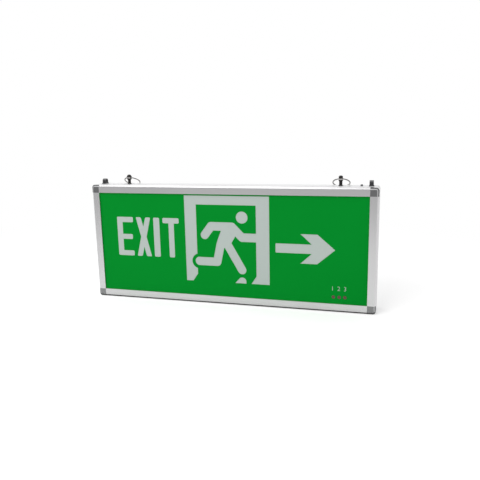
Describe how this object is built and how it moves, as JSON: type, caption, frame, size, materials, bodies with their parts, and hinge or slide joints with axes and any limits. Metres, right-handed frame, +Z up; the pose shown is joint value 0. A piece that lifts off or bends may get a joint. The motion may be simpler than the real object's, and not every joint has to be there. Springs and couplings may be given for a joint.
{
  "type": "emergency exit light",
  "caption": "Slim hanging emergency exit light: aluminium frame with plastic corners, green running-figure legend over an opal panel, hanging rings, end lugs and a test button.",
  "frame": {"origin": "middle of the flat underside, half way through the depth of the case", "axes": "+X to the viewer's right along the sign, +Y from the lit face to the back, +Z up"},
  "size_m": [0.36, 0.0368, 0.1598],
  "materials": {
    "frame_aluminium": "satin anodised extrusion",
    "corner_plastic": "fine textured dark grey moulding",
    "legend_green": "screen printed film, slight sheen",
    "opal_panel": "opal acrylic sheet",
    "case_white": "fine textured white moulding",
    "screw_steel": "zinc plated",
    "grommet_rubber": "soft black",
    "reflector_white": "sheet with matt white coat",
    "circuit_board": "green solder mask",
    "led_white": "pale phosphor",
    "light_pipe": "tinted clear plastic",
    "coil_core": "sintered ferrite and tape",
    "capacitor_can": "printed sleeve",
    "terminal_green": "moulded",
    "relay_black": "moulded",
    "battery_sleeve": "shrink sleeve",
    "strap_steel": "zinc plated sheet",
    "stud_black": "black oxide",
    "ring_nickel": "nickel plated spring steel",
    "lug_plastic": "dark grey moulding",
    "button_grey": "dark grey moulding",
    "switch_black": "moulded"
  },
  "bodies": {
    "sign": {"frame_top": "frame_aluminium", "frame_bottom": "frame_aluminium", "frame_left": "frame_aluminium", "frame_right": "frame_aluminium", "corner_top_left": "corner_plastic", "corner_top_right": "corner_plastic", "corner_bottom_left": "corner_plastic", "corner_bottom_right": "corner_plastic", "legend_film": "legend_green", "face_panel": "opal_panel", "rear_case": "case_white", "case_screws": "screw_steel", "cable_grommet": "grommet_rubber", "reflector_pan": "reflector_white", "light_strip_upper": "circuit_board", "light_strip_lower": "circuit_board", "led_chips": "led_white", "indicator_board": "circuit_board", "indicator_leds": "led_white", "light_pipe": "light_pipe", "driver_board": "circuit_board", "transformer": "coil_core", "capacitors": "capacitor_can", "terminal_block": "terminal_green", "relay": "relay_black", "board_screws": "screw_steel", "battery_pack": "battery_sleeve", "battery_strap": "strap_steel", "eye_stud_left": "stud_black", "eye_stud_right": "stud_black", "end_lug_left": "lug_plastic", "end_lug_right": "lug_plastic", "hanger_nuts": "screw_steel", "test_switch": "switch_black", "switch_board": "circuit_board"},
    "ring_left": {"split_ring_left": "ring_nickel"},
    "ring_right": {"split_ring_right": "ring_nickel"},
    "button": {"test_button": "button_grey"}
  },
  "joints": [
    {"name": "ring_left_swing", "type": "hinge", "parent": "sign", "child": "ring_left", "pos_m": [-0.1355, 0.004, 0.156], "axis": [1, 0, 0], "range_deg": [0, 126]},
    {"name": "ring_right_swing", "type": "hinge", "parent": "sign", "child": "ring_right", "pos_m": [0.1355, 0.004, 0.156], "axis": [1, 0, 0], "range_deg": [0, 126]},
    {"name": "test_button_press", "type": "slide", "parent": "sign", "child": "button", "axis": [0, 0, -1], "range_m": [0, 0.001], "stiffness_N_per_m": 300, "springref_m": -0.0005}
  ]
}
